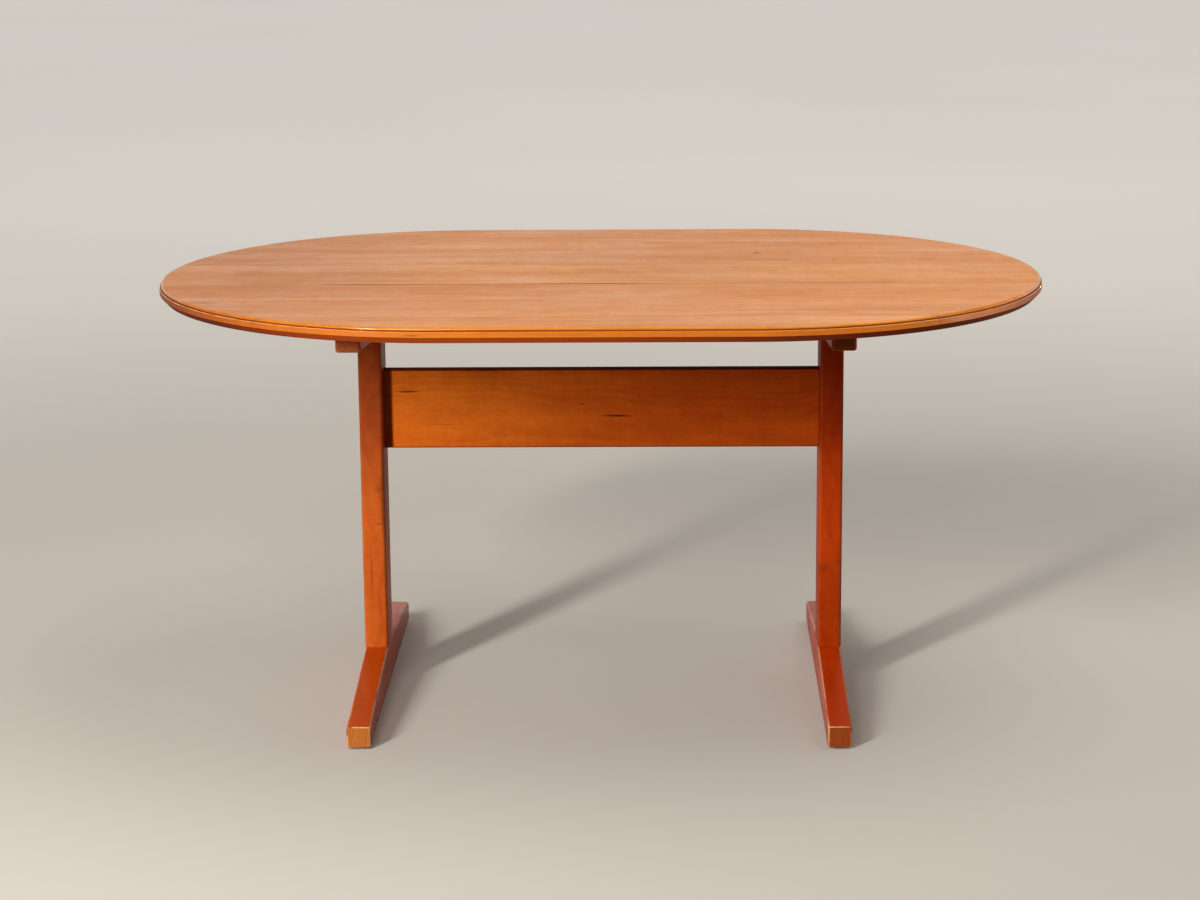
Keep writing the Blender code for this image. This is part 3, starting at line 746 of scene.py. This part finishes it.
def board_material(name, number):
    low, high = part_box(name)
    front, back = low[1], high[1]
    sideways = PITH_SIDEWAYS * math.sin(number * PITH_TURN)
    pith = ((front + back) / 2 + sideways, PITH_HEIGHTS[number % 2])
    tones = tuple(tinted(tone, BOARD_TONES[number - 1]) for tone in (TOP_LIGHT, TOP_DARK))
    wood = Wood(name, "X", number, tones, pith, TOP_RING, TOP_FIGURE)
    nodes = wood.nodes
    groove = board_joints(wood, front, back)
    wood.tint(STAIN, groove, SEAM_STAIN)
    board_marks(wood, front, back)
    for drift in TOP_DRIFTS:
        wood.drift(*drift)
    wood.end_grain(scaled(tones[1], TOP_END))
    quirk = nodes.between(wood.axes[2], *QUIRK)
    moulded_edge(wood, quirk)
    upward = wood.normal[2]
    underside = nodes.spread(upward, *DULL_UNDERSIDE)
    ends = nodes.spread(nodes.math("ABSOLUTE", wood.axes[0]), *DULL_ENDS)
    ends = nodes.fold("MULTIPLY", ends, nodes.spread(upward, *DULL_BAND), DULL_AMOUNT)
    dull = nodes.fold("MAXIMUM", groove, underside, quirk, ends)
    return wood.finish(*TOP_FINISH, TOP_GLOSS, dull, nodes.between(upward, *POLISHED))


def front_marks(wood, marks):
    """Dark streaks on the front face of a timber."""
    nodes = wood.nodes
    along, across, deep = wood.axes
    if wood.axis == "X":
        across, deep = deep, across
    front = nodes.spread(deep, *FRONT_HALF)
    wander = nodes.math("MULTIPLY_ADD", wood.waver("wander"), MARK_WANDER, across)
    for centre, half, strength in marks:
        wood.tint(STAIN, mark(nodes, along, wander, centre, half), front, strength)


def stretcher_painted_shade(wood, bottom):
    """Painted shade on the stretcher's top and bottom edges and painted shadow of the left post on its
    left end. Returns how dull the edges are.
    """
    nodes = wood.nodes
    edge = nodes.spread(nodes.math("ABSOLUTE", wood.normal[2]), *EDGE_FACE)
    lower = nodes.spread(wood.axes[2], *(bottom + height for height in LOWER_EDGE))
    post_shadow = nodes.spread(wood.axes[0], *LEFT_END_SHADOW)
    # painted shade on the edges, and painted shadow of the left post at the left end
    wood.shade(STRETCHER_PAINTED_SHADE, nodes.fold("MAXIMUM", edge, lower, post_shadow))
    return nodes.math("MULTIPLY", edge, EDGE_DULL)


def timber_material(name, seed):
    piece = TIMBERS[name]
    tones = (piece["tone"], tinted(piece["tone"], BASE_DARK))
    wood = Wood(name, piece["axis"], seed, tones, piece["pith"], BASE_RING, BASE_FIGURE)
    if name in FRONT_MARKS:
        front_marks(wood, FRONT_MARKS[name])
    # on the upper posts and the stretcher these drifts are painted shade
    for drift in piece["drifts_and_painted_shade"]:
        wood.drift(*drift)
    wood.end_grain(piece["end"])
    wood.rubbed_and_sheen_edges(*piece["rubbed_and_sheen"], RUBBED_ENDS[piece["axis"]])
    dull = stretcher_painted_shade(wood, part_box(name)[0][2]) if name == "stretcher" else 0.0
    return wood.finish(*piece["finish"], BASE_GLOSS, dull)


def dowel_material():
    wood = Wood("dowel_wood", "Y", DOWEL_SEED, DOWEL_TONES, DOWEL_PITH, DOWEL_RING, BASE_FIGURE)
    wood.end_grain(DOWEL_END)
    return wood.finish(*DOWEL_FINISH, TOP_GLOSS)


def steel_material(slot):
    material, nodes, shader = new_material(slot)
    place = nodes.object_place()
    cloud = nodes.noise(place, *STEEL_CLOUDS)
    nodes.set(shader.inputs["Base Color"], nodes.mix(cloud, STEEL_DARK, STEEL_PALE))
    nodes.set(shader.inputs["Roughness"], nodes.spread(cloud, *STEEL_ROUGHNESS))
    nodes.bump(shader, nodes.noise(place, *STEEL_GRAIN), *STEEL_BUMP)
    shader.inputs["Metallic"].default_value = 1.0
    return material


def felt_material(slot):
    material, nodes, shader = new_material(slot)
    hair = nodes.noise(nodes.object_place(), *FELT_HAIRS)
    nodes.set(shader.inputs["Base Color"], nodes.mix(hair, FELT_DARK, FELT_PALE))
    nodes.bump(shader, hair, *FELT_BUMP)
    shader.inputs["Roughness"].default_value = FELT_ROUGHNESS
    shader.inputs["Sheen Weight"].default_value = FELT_SHEEN
    return material


def dress(node, slot, material, ease):
    """Copy of a CAD node with smooth roundings and its sharp edges eased, in place of the node."""
    bm = bmesh.new()
    bm.from_mesh(frame["nodes"][node].data)
    bmesh.ops.remove_doubles(bm, verts=bm.verts, dist=WELD_DISTANCE)
    bmesh.ops.dissolve_limit(bm, angle_limit=FLAT_ANGLE, verts=bm.verts, edges=bm.edges)
    mesh = bpy.data.meshes.new(f"{node}_dressed")
    bm.to_mesh(mesh)
    bm.free()
    mesh.shade_smooth()
    mesh.materials.append(material)
    piece = bpy.data.objects.new(f"{node}_dressed", mesh)
    bpy.context.scene.collection.objects.link(piece)
    bevel = piece.modifiers.new("Eased edges", "BEVEL")
    bevel.limit_method = "ANGLE"
    bevel.angle_limit = SHARP_ANGLE
    bevel.width = ease
    bevel.segments = EASE_SEGMENTS
    piece.modifiers.new("Even faces", "WEIGHTED_NORMAL").keep_sharp = True
    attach(piece, "root")
    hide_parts(node)


def add_area_light(name, place, aim, size, beam, power, colour):
    data = bpy.data.lights.new(name, "AREA")
    data.shape = "RECTANGLE"
    data.size, data.size_y = size
    data.spread = math.radians(beam)
    data.energy = power
    data.color = colour
    light = bpy.data.objects.new(name, data)
    light.location = place
    light.rotation_euler = (Vector(aim) - Vector(place)).to_track_quat("-Z", "Y").to_euler()
    bpy.context.scene.collection.objects.link(light)


def seen_rays(nodes):
    """1 for rays that show a surface itself: straight, in a reflection or through glass."""
    path = nodes.add("ShaderNodeLightPath").outputs
    rays = ("Is Camera Ray", "Is Glossy Ray", "Is Transmission Ray")
    return nodes.fold("MAXIMUM", *(path[ray] for ray in rays))


def make_world():
    """Pale plain backdrop, which lights the table least from the front."""
    world = bpy.data.worlds.new("Studio")
    bpy.context.scene.world = world
    world.use_nodes = True
    nodes = Nodes(world.node_tree)
    background = world.node_tree.nodes["Background"]
    right, back, up = nodes.split(nodes.add("ShaderNodeTexCoord").outputs["Generated"])
    fill = nodes.mix(nodes.spread(right, *FRONT_TO_RIGHT), WORLD_FRONT, WORLD_RIGHT)
    fill = nodes.mix(nodes.spread(back, *FRONT_TO_BACK), fill, WORLD_BACK)
    seen = nodes.mix(nodes.spread(up, *FOOT_TO_MIDDLE), BACKDROP_FOOT, BACKDROP)
    seen = nodes.mix(nodes.spread(up, *MIDDLE_TO_HIGH), seen, BACKDROP_HIGH)
    nodes.set(background.inputs["Color"], nodes.mix(seen_rays(nodes), fill, seen))
    background.inputs["Strength"].default_value = 1.0


def make_floor():
    """Pale plain floor that keeps the table's shadow and glows faintly where it is seen."""
    bm = bmesh.new()
    bmesh.ops.create_grid(bm, x_segments=1, y_segments=1, size=FLOOR_SIZE)
    mesh = bpy.data.meshes.new("floor")
    bm.to_mesh(mesh)
    bm.free()
    floor = bpy.data.objects.new("floor", mesh)
    bpy.context.scene.collection.objects.link(floor)
    material, nodes, shader = new_material("floor_paint")
    place = nodes.object_place()
    cloud = nodes.math("MULTIPLY", nodes.noise(place, *FLOOR_CLOUDS), CLOUD_STRENGTH)
    away = nodes.add("ShaderNodeVectorMath", {"operation": "LENGTH"}, Vector=place).outputs["Value"]
    pale = nodes.mix(nodes.spread(away, *NEAR_TO_FAR), FLOOR_NEAR, FLOOR_FAR)
    pale = nodes.mix(cloud, pale, FLOOR_BOUNCE)
    seen = seen_rays(nodes)
    nodes.set(shader.inputs["Base Color"], nodes.mix(seen, FLOOR_BOUNCE, pale))
    nodes.set(shader.inputs["Emission Color"], pale)
    glow = nodes.spread(away, *FLOOR_GLOW)
    nodes.set(shader.inputs["Emission Strength"], nodes.math("MULTIPLY", seen, glow))
    shader.inputs["Roughness"].default_value = FLOOR_ROUGHNESS
    shader.inputs["Specular IOR Level"].default_value = FLOOR_SPECULAR
    mesh.materials.append(material)


def make_camera():
    heading = Vector((math.sin(CAMERA_HEADING), math.cos(CAMERA_HEADING), 0.0))
    forward = heading * math.cos(CAMERA_TILT) + Vector((0, 0, -math.sin(CAMERA_TILT)))
    level = Vector((math.cos(CAMERA_HEADING), -math.sin(CAMERA_HEADING), 0.0))
    upright = level.cross(forward)
    right = math.cos(CAMERA_ROLL) * level + math.sin(CAMERA_ROLL) * upright
    up = math.cos(CAMERA_ROLL) * upright - math.sin(CAMERA_ROLL) * level
    data = bpy.data.cameras.new("camera")
    data.sensor_fit = "HORIZONTAL"
    data.sensor_width = SENSOR_WIDTH
    data.lens = FOCAL_PIXELS / IMAGE_WIDTH * SENSOR_WIDTH
    camera = bpy.data.objects.new("camera", data)
    turn = Matrix((right, up, -forward)).transposed().to_4x4()
    camera.matrix_world = Matrix.Translation(CAMERA_PLACE) @ turn
    bpy.context.scene.collection.objects.link(camera)
    bpy.context.scene.camera = camera


for item in list(bpy.data.objects):
    bpy.data.objects.remove(item, do_unlink=True)
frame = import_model()
make_camera()
make_world()
make_floor()
for light in LIGHTS:
    add_area_light(*light)

boards = sorted(name for name in frame["nodes"] if name.startswith("tabletop_board"))
for number, name in enumerate(boards, 1):
    dress(name, name, board_material(name, number), BOARD_EASE)
for number, name in enumerate(TIMBERS, len(boards) + 1):
    dress(name, name, timber_material(name, number), TIMBER_EASE)

dowel_wood = dowel_material()
finishes = {
    "bolt_steel": steel_material("bolt_steel"),
    "screw_steel": steel_material("screw_steel"),
    "pad_felt": felt_material("pad_felt"),
}
for name, node in frame["nodes"].items():
    if name.endswith("_dowel"):
        node.material_slots[0].material = dowel_wood
    elif name.endswith("_pad"):
        dress(name, "pad_felt", finishes["pad_felt"], FELT_EASE)
    elif "_top_screw_" in name:
        dress(name, "screw_steel", finishes["screw_steel"], STEEL_EASE)
    elif name.endswith(("_bolt", "_washer", "_barrel_nut")):
        dress(name, "bolt_steel", finishes["bolt_steel"], STEEL_EASE)

bpy.context.scene.view_settings.view_transform = "Standard"
